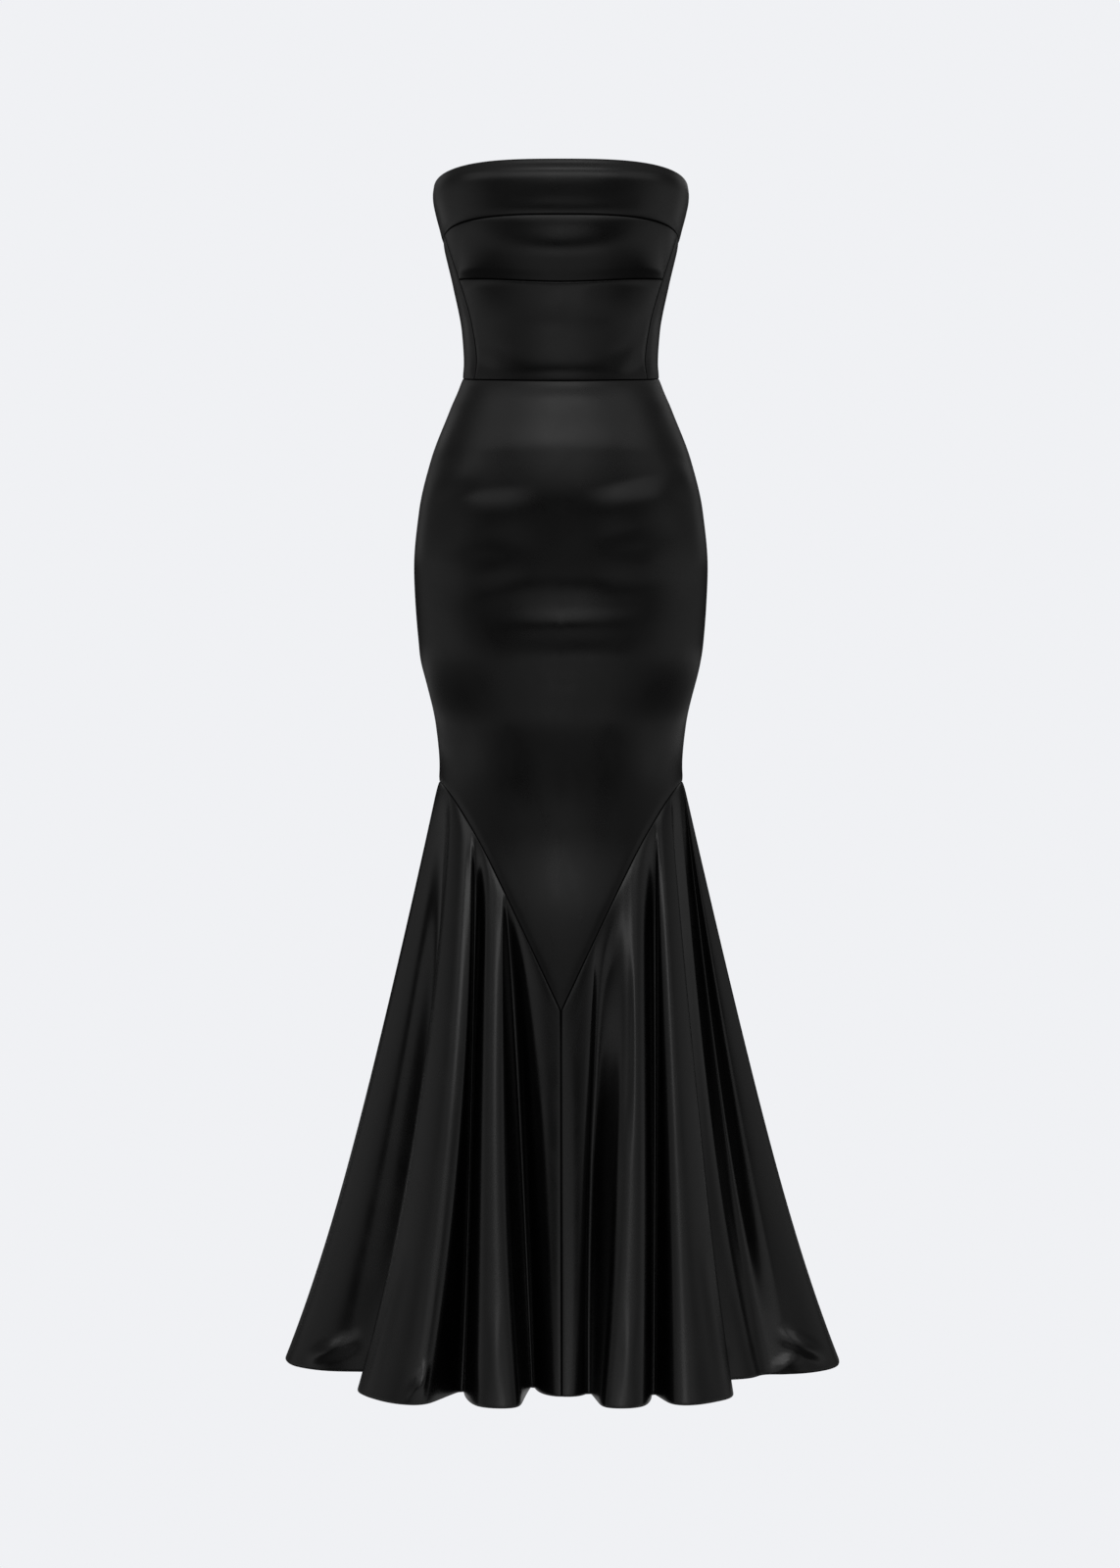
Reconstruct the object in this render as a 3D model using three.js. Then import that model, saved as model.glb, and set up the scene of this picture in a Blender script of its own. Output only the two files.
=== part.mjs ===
// A strapless mermaid gown in black satin, filled out as if worn, with nobody in it.
// Millimetres, +Z up. The front faces -Y, and the wearer's left is +X.
// The origin is the middle of the waist, level with the side ends of the waist seam.
// Every angle is in degrees round the gown: 0 at the centre front, 90 at the wearer's
// left side, 180 at the centre back and -90 at the right side.

import * as THREE from "three";

// Driving dimensions.
const WALL = 2; // lined satin as one wall, measured level
const SEAM_GAP = 0.3; // between neighbouring pieces
const NECKLINE_Z = 222.5;
const BAND_SEAM_Z = 161.5;
const BAND_DIP = 10; // how far the neckline and the band's seam drop at the sides
const BUST_SEAM_Z = 91.5; // at the centre front
const BUST_SEAM_RISE = 14; // how much higher the seam would be at the sides
const WAIST_DIP = 14; // how far the waist seam drops at the centre front
const V_SEAM_SIDE_Z = -452; // where the V seam passes the sides of the knee
const V_SEAM_DROP = 247; // from there down to the tip of the V, front and back
const V_SEAM_CURVE = 2.6; // the power that keeps the V's arms straight and its top round
const HEM_Z = -1098;

// The side front seam of the bodice curves forward from the band down to the waist.
const SIDE_FRONT_AT_WAIST = 57;
const SIDE_FRONT_AT_BAND = 72;
const SIDE_FRONT_CURVE = 1.4;

// The level sections of the fitted part, from the neckline to the tip of the V seam. full is
// how far a section stands outside an ellipse, halfway between the front and the side.
const SECTIONS = [
  { z: 223, halfWidth: 141, front: 114, back: 93, full: 0.09 },
  { z: 200, halfWidth: 143, front: 119, back: 95, full: 0.09 },
  { z: 161, halfWidth: 135, front: 118, back: 94, full: 0.09 },
  { z: 100, halfWidth: 120.5, front: 104, back: 88, full: 0.06 },
  { z: 50, halfWidth: 111, front: 91, back: 80, full: 0.04 },
  { z: 17, halfWidth: 109, front: 86, back: 77, full: 0.03 },
  { z: -2, halfWidth: 111.5, front: 85, back: 77, full: 0.03 },
  { z: -37, halfWidth: 125, front: 92, back: 86, full: 0.03 },
  { z: -92, halfWidth: 146, front: 103, back: 105, full: 0.03 },
  { z: -150, halfWidth: 159.5, front: 106, back: 119, full: 0.04 },
  { z: -213, halfWidth: 165, front: 105, back: 124, full: 0.05 },
  { z: -300, halfWidth: 158.5, front: 103, back: 116, full: 0.05 },
  { z: -389, halfWidth: 140.5, front: 102, back: 106, full: 0.04 },
  { z: -435, halfWidth: 136.5, front: 104, back: 104, full: 0.03 },
  { z: -510, halfWidth: 149, front: 113, back: 112, full: 0.02 },
  { z: -600, halfWidth: 172, front: 131, back: 130, full: 0.01 },
  { z: -700, halfWidth: 197, front: 149, back: 149, full: 0 },
];

// The flare's folds, a row for each, once round from the centre back.
// seam and seamWidth: the angle at which the ridge's middle leaves the V seam, and how many
// degrees wide it is there. hem and width: the same at the hem.
// crest: how many degrees its highest line is from its middle at the hem.
// reach: how far its top's shoulders are from the gown's axis on average, and lean: how much
// farther out the first one is than the second one.
// bow: how far its lines swing round the gown at half height, on their way down.
// valley: the same for the valley that follows it.
const FOLDS = [
  { seam: -180, seamWidth: 7, hem: -180, width: 10, crest: 0, reach: 224, lean: 0, bow: 0, valley: { seam: -168, hem: -171, reach: 188, bow: 0 } },
  { seam: -158, seamWidth: 6, hem: -162, width: 9, crest: 1, reach: 271, lean: 6, bow: 3, valley: { seam: -148, hem: -153, reach: 205, bow: -3 } },
  { seam: -137, seamWidth: 9, hem: -141, width: 13, crest: -2, reach: 286, lean: -8, bow: -4, valley: { seam: -126, hem: -129, reach: 208, bow: 3 } },
  { seam: -114, seamWidth: 8, hem: -116, width: 12, crest: 2, reach: 292, lean: -8, bow: 3, valley: { seam: -102, hem: -104, reach: 226, bow: 0 } },
  { seam: -82, seamWidth: 12, hem: -82, width: 17, crest: 0, reach: 292, lean: 36, bow: 0, valley: { seam: -64, hem: -65, reach: 214, bow: -12 } },
  { seam: -48, seamWidth: 13, hem: -38.5, width: 19, crest: 3, reach: 286, lean: 5, bow: 17, valley: { seam: -36, hem: -30, reach: 206, bow: -8 } },
  { seam: -26, seamWidth: 6, hem: -13.5, width: 9, crest: -1.2, reach: 270, lean: 10, bow: -2, valley: { seam: -20, hem: -11, reach: 158, bow: 0 } },
  { seam: 0, seamWidth: 22, hem: 0, width: 12, crest: 0, reach: 204.5, lean: -12, bow: 0, valley: { seam: 14, hem: 9, reach: 190, bow: -5 } },
  { seam: 29, seamWidth: 6, hem: 13.5, width: 9, crest: 1.5, reach: 270, lean: -10, bow: 3, valley: { seam: 42, hem: 26.5, reach: 214, bow: 6 } },
  { seam: 51, seamWidth: 10, hem: 32, width: 15, crest: -2.5, reach: 277, lean: -10, bow: -2, valley: { seam: 61, hem: 52, reach: 213, bow: 6 } },
  { seam: 70, seamWidth: 6, hem: 62, width: 8, crest: 0, reach: 235, lean: -6, bow: 14, valley: { seam: 81, hem: 67, reach: 250, bow: 20 } },
  { seam: 86, seamWidth: 8, hem: 81, width: 20, crest: 0, reach: 297, lean: -28, bow: 8, valley: { seam: 102, hem: 104, reach: 226, bow: 0 } },
  { seam: 113, seamWidth: 8, hem: 115, width: 11, crest: -1, reach: 293, lean: 6, bow: -3, valley: { seam: 124, hem: 127, reach: 214, bow: 3 } },
  { seam: 135, seamWidth: 10, hem: 139, width: 14, crest: 2, reach: 283, lean: 5, bow: 4, valley: { seam: 147, hem: 150, reach: 202, bow: -2 } },
  { seam: 157, seamWidth: 6, hem: 160, width: 9, crest: -1, reach: 276, lean: -4, bow: -3, valley: { seam: 168, hem: 170.5, reach: 184, bow: 0 } },
];

// The crest stands out from the fold's shoulders, more so in a wide fold.
const CROWN_PER_DEGREE = 0.75;

// The hem as it would be with its folds smoothed out.
const SMOOTH_HEM = { halfWidth: 288, front: 236, back: 240 };

// The flare stays inside a straight line from the seam to the hem, and most of all low down,
// where it turns out. Its folds deepen early.
const HOLLOW = 0.33;
const HOLLOW_LOW = 0.33;
const EARLY_FOLDS = 0.7;

// Over this share of the flare's length its wall turns from the seam's direction to its own.
const WALL_TURN = 0.12;

// How finely the pieces are divided.
const COLUMN_DEGREES = 5;
const BAND_ROWS = 2;
const BUST_ROWS = 2;
const WAIST_ROWS = 4;
const SKIRT_ROWS = 14;
const FLARE_ROWS = 9;
const COLUMNS_PER_LINE = 3;

const SATIN = { color: 0x0d0d0e, roughness: 0.36, metalness: 0 };

const radians = THREE.MathUtils.degToRad;
const mix = THREE.MathUtils.lerp;

// The slope at each row of a table that lets a smooth curve through it never overshoot.
// A closed table's last row is its first one again.
function gentleSlopes(at, values, closed) {
  const rises = values
    .slice(1)
    .map((value, i) => (value - values[i]) / (at[i + 1] - at[i]));
  const count = rises.length;
  return values.map((_, i) => {
    const before = closed ? rises.at(i - 1) : rises[Math.max(i - 1, 0)];
    const after = closed ? rises[i % count] : rises[Math.min(i, count - 1)];
    if (before * after <= 0) return 0;
    return (2 * before * after) / (before + after);
  });
}

// A smooth curve through one column of a table, as a function of another column.
function smoothColumn(at, values, closed = false) {
  const slopes = gentleSlopes(at, values, closed);
  return (place) => {
    let i = 0;
    while (i < at.length - 2 && place > at[i + 1]) i++;
    const step = at[i + 1] - at[i];
    const t = THREE.MathUtils.clamp((place - at[i]) / step, 0, 1);
    const back = 1 - t;
    return (
      values[i] * back * back * (1 + 2 * t) +
      values[i + 1] * t * t * (1 + 2 * back) +
      slopes[i] * step * t * back * back -
      slopes[i + 1] * step * t * t * back
    );
  };
}

const rising = [...SECTIONS].reverse();
const heights = rising.map((row) => row.z);
const sectionColumn = (key) =>
  smoothColumn(
    heights,
    rising.map((row) => row[key]),
  );
const halfWidthAt = sectionColumn("halfWidth");
const frontAt = sectionColumn("front");
const backAt = sectionColumn("back");
const fullnessAt = sectionColumn("full");

// The lines that the folds follow from the V seam down to the hem: each ridge's first
// shoulder, its crest and its second shoulder, and the valley after it.
const foldLines = FOLDS.flatMap((fold) => {
  const half = fold.width / 2;
  const narrowing = fold.seamWidth / fold.width;
  const ridgeLine = (turn, rise) => ({
    seam: fold.seam + turn * narrowing,
    hem: fold.hem + turn,
    reach: fold.reach + rise,
    bow: fold.bow,
  });
  return [
    ridgeLine(-half, fold.lean / 2),
    ridgeLine(fold.crest, CROWN_PER_DEGREE * fold.width),
    ridgeLine(half, -fold.lean / 2),
    fold.valley,
  ];
});
const lineCount = foldLines.length;

// One column of those lines, for a place among them that may run on past the last line to the
// first one again, where the angles have grown by a full turn.
function lineColumn(key, turn) {
  const values = foldLines.map((line) => line[key]);
  const places = [...values.keys(), lineCount];
  const column = smoothColumn(places, [...values, values[0] + turn], true);
  return (line) =>
    line <= lineCount ? column(line) : column(line - lineCount) + turn;
}

const seamAngleAt = lineColumn("seam", 360);
const hemAngleAt = lineColumn("hem", 360);
const reachAt = lineColumn("reach", 0);
const bowAt = lineColumn("bow", 0);

// The place among those lines, whole or between two, that leaves the V seam at an angle.
function lineLeaving(angle) {
  let low = 0;
  let high = lineCount + 2;
  while (high - low > 1e-9) {
    const middle = (low + high) / 2;
    if (seamAngleAt(middle) < angle) low = middle;
    else high = middle;
  }
  return low;
}

// A point of the fitted part's outer face.
function bodyPoint(angle, z) {
  const across = Math.sin(radians(angle));
  const ahead = Math.cos(radians(angle));
  const depth = ahead > 0 ? frontAt(z) : backAt(z);
  const full = 1 + fullnessAt(z) * Math.sin(radians(2 * angle)) ** 2;
  return new THREE.Vector3(
    halfWidthAt(z) * across * full,
    -depth * ahead * full,
    z,
  );
}

// The level direction out of the fitted part's face.
function bodyOutward(angle, z) {
  const along = bodyPoint(angle + 0.05, z).sub(bodyPoint(angle - 0.05, z));
  return new THREE.Vector3(along.y, -along.x, 0).normalize();
}

// The seams, each as a height for an angle.
const bandDip = (angle) => BAND_DIP * Math.sin(radians(angle)) ** 4;
const neckline = (angle) => NECKLINE_Z - bandDip(angle);
const bandSeam = (angle) => BAND_SEAM_Z - bandDip(angle);
const bustSeam = (angle) =>
  BUST_SEAM_Z + BUST_SEAM_RISE * Math.sin(radians(angle)) ** 2;
const waistSeam = (angle) =>
  -WAIST_DIP * Math.max(0, Math.cos(radians(angle)));

// The V seam is high at both sides and comes to a point at the centre front and back.
function vSeam(angle) {
  const turn = Math.abs(angle);
  const fromPoint = Math.min(turn, 180 - turn) / 90;
  return V_SEAM_SIDE_Z - V_SEAM_DROP * (1 - fromPoint) ** V_SEAM_CURVE;
}

// The bodice's side front seam, as an angle for a height.
const sideFrontSeam = (z) =>
  mix(
    SIDE_FRONT_AT_WAIST,
    SIDE_FRONT_AT_BAND,
    Math.max(0, z / BAND_SEAM_Z) ** SIDE_FRONT_CURVE,
  );

// Millimetres round the fitted part for each degree.
const reachOfDegree = (angle, z) =>
  bodyPoint(angle + 0.5, z).distanceTo(bodyPoint(angle - 0.5, z));

// How far up or down a piece's edge stands back from a sloping seam, so that half the gap is
// measured square to the seam.
function standBack(seam, angle) {
  const inside = Math.sign(angle || 1) * Math.max(Math.abs(angle), 1);
  const rise = seam(inside + 0.1) - seam(inside - 0.1);
  const run = 0.2 * reachOfDegree(inside, seam(inside));
  return (SEAM_GAP / 2) * Math.hypot(1, rise / run);
}

// A closed wall from a grid of outer points and a grid of inner points.
// Rows run down the gown, and columns run round it with the angle rising.
// Where two walls meet, both edges are split along the same diagonals, so they stay parallel.
function wallGeometry(outer, inner) {
  const rows = outer.length;
  const columns = outer[0].length;
  const layer = rows * columns;
  const positions = [...outer.flat(), ...inner.flat()].flatMap((p) =>
    p.toArray(),
  );
  const index = [];
  const quad = (a, b, c, d) => index.push(a, b, c, a, c, d);
  const at = (row, column) => row * columns + column;
  for (let row = 0; row < rows - 1; row++)
    for (let column = 0; column < columns - 1; column++) {
      const corners = [
        at(row, column),
        at(row + 1, column),
        at(row + 1, column + 1),
        at(row, column + 1),
      ];
      quad(...corners);
      quad(...corners.reverse().map((corner) => corner + layer));
    }
  for (let column = 0; column < columns - 1; column++) {
    const top = [at(0, column), at(0, column + 1)];
    const bottom = [at(rows - 1, column), at(rows - 1, column + 1)];
    quad(top[0], top[1], top[1] + layer, top[0] + layer);
    quad(bottom[0], bottom[0] + layer, bottom[1] + layer, bottom[1]);
  }
  for (let row = 0; row < rows - 1; row++) {
    const low = [at(row, 0), at(row + 1, 0)];
    const high = [at(row, columns - 1), at(row + 1, columns - 1)];
    quad(low[0], low[0] + layer, low[1] + layer, low[1]);
    quad(high[0], high[1], high[1] + layer, high[0] + layer);
  }
  const geometry = new THREE.BufferGeometry();
  geometry.setAttribute(
    "position",
    new THREE.Float32BufferAttribute(positions, 3),
  );
  geometry.setIndex(index);
  geometry.computeVertexNormals();
  return geometry;
}

// A cloth piece. pointAt gives its outer point for a share of the way down and round, and
// outwardAt the level direction out of its face there.
function clothPiece(name, rows, columns, pointAt, outwardAt) {
  const grid = (make) =>
    Array.from({ length: rows + 1 }, (_, row) =>
      Array.from({ length: columns + 1 }, (_, column) =>
        make(row / rows, column / columns),
      ),
    );
  const outer = grid(pointAt);
  const inner = grid((down, round) =>
    pointAt(down, round).addScaledVector(outwardAt(down, round), -WALL),
  );
  const mesh = new THREE.Mesh(
    wallGeometry(outer, inner),
    new THREE.MeshStandardMaterial(SATIN),
  );
  mesh.name = name;
  return mesh;
}

// A piece of the fitted part. seams are the ones that run round it, from its top edge to its
// bottom edge, and rows the number of rows from each to the next. It reaches round from one
// angle to another, each a function of the height.
function fittedPiece(name, { seams, rows, from, to }) {
  const rowCount = rows.reduce((sum, count) => sum + count, 0);
  const trimmedSeams = seams.map((seam, i) => {
    const side = { 0: -1, [seams.length - 1]: 1 }[i] ?? 0;
    return (angle) => seam(angle) + side * standBack(seam, angle);
  });
  const heightAt = (angle, down) => {
    let row = down * rowCount;
    let stretch = 0;
    while (row > rows[stretch] + 1e-6) row -= rows[stretch++];
    const top = trimmedSeams[stretch](angle);
    const bottom = trimmedSeams[stretch + 1](angle);
    return mix(top, bottom, row / rows[stretch]);
  };
  const sideEdge = (side, down, into) => {
    let angle = side(0);
    for (let pass = 0; pass < 5; pass++) angle = side(heightAt(angle, down));
    const reach = reachOfDegree(angle, heightAt(angle, down));
    return angle + (into * SEAM_GAP) / 2 / reach;
  };
  const place = (down, round) => {
    const first = sideEdge(from, down, 1);
    const last = sideEdge(to, down, -1);
    const angle = mix(first, last, round);
    return [angle, heightAt(angle, down)];
  };
  return clothPiece(
    name,
    rowCount,
    2 * Math.round((to(0) - from(0)) / COLUMN_DEGREES / 2),
    (down, round) => bodyPoint(...place(down, round)),
    (down, round) => bodyOutward(...place(down, round)),
  );
}

const at = (angle) => () => angle;

// The bodice: a band round the top, two panels across the front, and a back in two halves
// that reach forward to the side front seams.
function bodice() {
  const band = { seams: [neckline, bandSeam], rows: [BAND_ROWS] };
  const bust = { seams: [bandSeam, bustSeam], rows: [BUST_ROWS] };
  const waist = { seams: [bustSeam, waistSeam], rows: [WAIST_ROWS] };
  const back = {
    seams: [bandSeam, bustSeam, waistSeam],
    rows: [BUST_ROWS, WAIST_ROWS],
  };
  const leftSeam = sideFrontSeam;
  const rightSeam = (z) => -sideFrontSeam(z);
  const front = { from: rightSeam, to: leftSeam };
  return [
    fittedPiece("band_front", { ...band, from: at(-90), to: at(90) }),
    fittedPiece("band_back_left", { ...band, from: at(90), to: at(180) }),
    fittedPiece("band_back_right", { ...band, from: at(-180), to: at(-90) }),
    fittedPiece("bodice_bust_front", { ...bust, ...front }),
    fittedPiece("bodice_waist_front", { ...waist, ...front }),
    fittedPiece("bodice_back_left", { ...back, from: leftSeam, to: at(180) }),
    fittedPiece("bodice_back_right", { ...back, from: at(-180), to: rightSeam }),
  ];
}

// The fitted skirt, from the waist to the V seam.
function fittedSkirt() {
  const skirt = { seams: [waistSeam, vSeam], rows: [SKIRT_ROWS] };
  return [
    fittedPiece("skirt_front", { ...skirt, from: at(-90), to: at(90) }),
    fittedPiece("skirt_back_left", { ...skirt, from: at(90), to: at(180) }),
    fittedPiece("skirt_back_right", { ...skirt, from: at(-180), to: at(-90) }),
  ];
}

// A point of the hem at an angle: on the smooth hem, or at a given reach.
function hemPoint(angle, reach) {
  const across = Math.sin(radians(angle));
  const ahead = Math.cos(radians(angle));
  const depth = ahead > 0 ? SMOOTH_HEM.front : SMOOTH_HEM.back;
  const smooth = 1 / Math.hypot(across / SMOOTH_HEM.halfWidth, ahead / depth);
  const far = reach ?? smooth;
  return new THREE.Vector3(far * across, -far * ahead, HEM_Z);
}

// A point of the flare's outer face. line is a place among the lines of the folds, and down
// runs from 0 at the V seam to 1 at the hem.
function flarePoint(line, down) {
  const seamAngle = seamAngleAt(line);
  const hemAngle = hemAngleAt(line);
  const top = bodyPoint(seamAngle, vSeam(seamAngle));
  const smooth = hemPoint(hemAngle);
  const folded = hemPoint(hemAngle, reachAt(line));
  const hollow = down * (1 - down) * (HOLLOW + HOLLOW_LOW * down ** 2);
  const widened = down - hollow;
  const deepened = down * (1 + EARLY_FOLDS * (1 - down));
  const swing = bowAt(line) * 4 * down * (1 - down);
  return new THREE.Vector3(
    mix(top.x, smooth.x, widened) +
      (folded.x - smooth.x) * deepened +
      Math.cos(radians(hemAngle)) * swing,
    mix(top.y, smooth.y, widened) +
      (folded.y - smooth.y) * deepened +
      Math.sin(radians(hemAngle)) * swing,
    mix(top.z, HEM_Z, down),
  );
}

// The level direction out of the flare's face. At the V seam it is the fitted part's own.
function flareOutward(line, down) {
  const beside = (step) =>
    THREE.MathUtils.euclideanModulo(line + step, lineCount);
  const height = THREE.MathUtils.clamp(down, 0.01, 0.99);
  const round = flarePoint(beside(0.01), height).sub(
    flarePoint(beside(-0.01), height),
  );
  const fall = flarePoint(line, height + 0.01).sub(
    flarePoint(line, height - 0.01),
  );
  const own = fall.cross(round).setZ(0).normalize();
  const seamAngle = seamAngleAt(line);
  const above = bodyOutward(seamAngle, vSeam(seamAngle));
  const turned = THREE.MathUtils.smoothstep(down, 0, WALL_TURN);
  return above.lerp(own, turned).normalize();
}

// The part of a step among those lines that half a seam gap takes up.
function lineTrim(line, step, down) {
  const across = flarePoint(line + step, down).sub(flarePoint(line, down));
  return (step * SEAM_GAP) / 2 / Math.hypot(across.x, across.y);
}

// A quarter of the flare, from one seam to another. Its wall is cut square to those seams, as
// its neighbour's is.
function flarePiece(name, fromAngle, toAngle) {
  const first = lineLeaving(fromAngle);
  const last = lineLeaving(toAngle);
  const place = (down, round) => {
    const from = first + lineTrim(first, 0.1, down);
    const to = last + lineTrim(last, -0.1, down);
    const line = mix(from, to, round);
    const angle = seamAngleAt(line);
    const start = standBack(vSeam, angle) / (vSeam(angle) - HEM_Z);
    return [line, mix(start, 1, down)];
  };
  const facing = (down, round) => {
    const [line, height] = place(down, round);
    if (round === 0) return flareOutward(first, height);
    if (round === 1) return flareOutward(last, height);
    return flareOutward(line, height);
  };
  return clothPiece(
    name,
    FLARE_ROWS,
    Math.round((last - first) * COLUMNS_PER_LINE),
    (down, round) => flarePoint(...place(down, round)),
    facing,
  );
}

// The flare: four quarters, joined at the centre front, the sides and the centre back.
function flare() {
  return [
    flarePiece("flare_front_left", 0, 90),
    flarePiece("flare_front_right", -90, 0),
    flarePiece("flare_back_left", 90, 180),
    flarePiece("flare_back_right", -180, -90),
  ];
}

const gown = new THREE.Group();
gown.add(...bodice(), ...fittedSkirt(), ...flare());

export default gown;
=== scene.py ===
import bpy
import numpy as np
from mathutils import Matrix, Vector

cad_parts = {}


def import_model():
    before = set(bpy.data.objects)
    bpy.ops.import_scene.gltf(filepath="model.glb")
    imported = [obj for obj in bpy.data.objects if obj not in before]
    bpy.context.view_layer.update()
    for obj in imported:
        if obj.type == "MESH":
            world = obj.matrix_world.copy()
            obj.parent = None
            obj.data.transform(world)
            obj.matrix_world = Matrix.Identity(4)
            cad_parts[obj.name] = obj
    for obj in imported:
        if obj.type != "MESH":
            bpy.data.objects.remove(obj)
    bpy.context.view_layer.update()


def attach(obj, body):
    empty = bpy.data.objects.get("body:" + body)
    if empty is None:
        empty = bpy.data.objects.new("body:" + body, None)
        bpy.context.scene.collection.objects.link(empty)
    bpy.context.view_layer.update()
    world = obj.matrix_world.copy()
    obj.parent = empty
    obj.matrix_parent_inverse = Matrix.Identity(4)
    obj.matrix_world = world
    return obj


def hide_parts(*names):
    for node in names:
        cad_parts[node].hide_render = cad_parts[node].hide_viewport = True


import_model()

# A strapless mermaid gown in black satin, filled out as if worn, with nobody in it.
# Metres, +Z up. The front faces -Y, and the wearer's left is +X.
# Every angle is in degrees round the gown: 0 at the centre front, 90 at the wearer's
# left side, 180 at the centre back and -90 at the right side.

# The gown's sizes, as in the part's source, but for the gap at the seams, which is narrower here.
NECKLINE_Z = 0.2225
BAND_SEAM_Z = 0.1615
BAND_DIP = 0.010  # how much lower the band lies at the sides
BUST_SEAM_Z = 0.0915
BUST_SEAM_RISE = 0.014
WAIST_DIP = 0.014  # how much lower the waist seam lies at the centre front
V_SEAM_SIDE_Z = -0.452
V_SEAM_DROP = 0.247
V_SEAM_CURVE = 2.6
HEM_Z = -1.098
SEAM_GAP = 0.00004
SIDE_FRONT_AT_WAIST = 57  # the angle of the bodice's side front seam
SIDE_FRONT_AT_BAND = 72
SIDE_FRONT_CURVE = 1.4

# The level sections of the fitted part. full is how far a section stands outside an ellipse,
# halfway between the front and the side.
SECTIONS = [
    dict(z=0.223, half_width=0.141, front=0.114, back=0.093, full=0.09),
    dict(z=0.200, half_width=0.143, front=0.119, back=0.095, full=0.09),
    dict(z=0.161, half_width=0.135, front=0.118, back=0.094, full=0.09),
    dict(z=0.100, half_width=0.1205, front=0.104, back=0.088, full=0.06),
    dict(z=0.050, half_width=0.111, front=0.091, back=0.080, full=0.04),
    dict(z=0.017, half_width=0.109, front=0.086, back=0.077, full=0.03),
    dict(z=-0.002, half_width=0.1115, front=0.085, back=0.077, full=0.03),
    dict(z=-0.037, half_width=0.125, front=0.092, back=0.086, full=0.03),
    dict(z=-0.092, half_width=0.146, front=0.103, back=0.105, full=0.03),
    dict(z=-0.150, half_width=0.1595, front=0.106, back=0.119, full=0.04),
    dict(z=-0.213, half_width=0.165, front=0.105, back=0.124, full=0.05),
    dict(z=-0.300, half_width=0.1585, front=0.103, back=0.116, full=0.05),
    dict(z=-0.389, half_width=0.1405, front=0.102, back=0.106, full=0.04),
    dict(z=-0.435, half_width=0.1365, front=0.104, back=0.104, full=0.03),
    dict(z=-0.510, half_width=0.149, front=0.113, back=0.112, full=0.02),
    dict(z=-0.600, half_width=0.172, front=0.131, back=0.130, full=0.01),
    dict(z=-0.700, half_width=0.197, front=0.149, back=0.149, full=0),
]

# The flare's folds, a row for each, once round from the centre back.
# seam, seam_width: the angle at which the ridge leaves the V seam, and its width there.
# hem, width: the same at the hem. crest: how far its highest line is from its middle there.
# reach: how far its shoulders are from the gown's axis, and lean: how much farther the first
# one is. bow: how far its lines swing round at mid height. Then the valley that follows it.
FOLD_COLUMNS = (
    "seam seam_width hem width crest reach lean bow "
    "valley_seam valley_hem valley_reach valley_bow"
).split()
FOLDS = [
    (-180, 7, -180, 10, 0, 0.224, 0.000, 0.000, -168, -171, 0.188, 0.000),
    (-158, 6, -162, 9, 1, 0.271, 0.006, 0.003, -148, -153, 0.205, -0.003),
    (-137, 9, -141, 13, -2, 0.286, -0.008, -0.004, -126, -129, 0.208, 0.003),
    (-114, 8, -116, 12, 2, 0.292, -0.008, 0.003, -102, -104, 0.226, 0.000),
    (-82, 12, -82, 17, 0, 0.292, 0.036, 0.000, -64, -65, 0.214, -0.012),
    (-48, 13, -38.5, 19, 3, 0.286, 0.005, 0.017, -36, -30, 0.206, -0.008),
    (-26, 6, -13.5, 9, -1.2, 0.270, 0.010, -0.002, -20, -11, 0.158, 0.000),
    (0, 22, 0, 12, 0, 0.2045, -0.012, 0.000, 14, 9, 0.190, -0.005),
    (29, 6, 13.5, 9, 1.5, 0.270, -0.010, 0.003, 42, 26.5, 0.214, 0.006),
    (51, 10, 32, 15, -2.5, 0.277, -0.010, -0.002, 61, 52, 0.213, 0.006),
    (70, 6, 62, 8, 0, 0.235, -0.006, 0.014, 81, 67, 0.250, 0.020),
    (86, 8, 81, 20, 0, 0.297, -0.028, 0.008, 102, 104, 0.226, 0.000),
    (113, 8, 115, 11, -1, 0.293, 0.006, -0.003, 124, 127, 0.214, 0.003),
    (135, 10, 139, 14, 2, 0.283, 0.005, 0.004, 147, 150, 0.202, -0.002),
    (157, 6, 160, 9, -1, 0.276, -0.004, -0.003, 168, 170.5, 0.184, 0.000),
]
CROWN_PER_DEGREE = 0.00075  # how far a crest stands out, for each degree of its fold's width
SMOOTH_HEM = dict(half_width=0.288, front=0.236, back=0.240)  # the hem without its folds
HOLLOW = 0.33  # how much the flare curves in between the V seam and the hem
HOLLOW_LOW = 0.33  # how much more it does low down
EARLY_FOLDS = 0.7  # how much deeper than in proportion the folds are near the V seam
WALL_TURN = 0.12  # the share of the flare's height in which its face turns from the body's to its own

# The cloth: its thickness, how its edge rolls in at a seam, and how finely it is divided.
CLOTH = 0.0012
EDGE_ROLL = 0.0011
FOLD_ROLL = 0.0020  # the round edge at the neckline and the hem
EDGE_STEPS = np.array([0, 0.1, 0.3, 0.6, 1.0, 1.8, 3.2]) * EDGE_ROLL
EDGE_WIDTH = EDGE_STEPS[-1]
SEAM_SINK = 0.0014
SEAM_SINK_REACH = 0.005
CELL = 0.0034
FLARE_CELL = 0.0042
FOLD_ROUNDING = 0.010  # how far along the hem a fold's form is evened out
RELIEF_FADE = 0.01  # how far from a seam the creases begin to fade out

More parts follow.
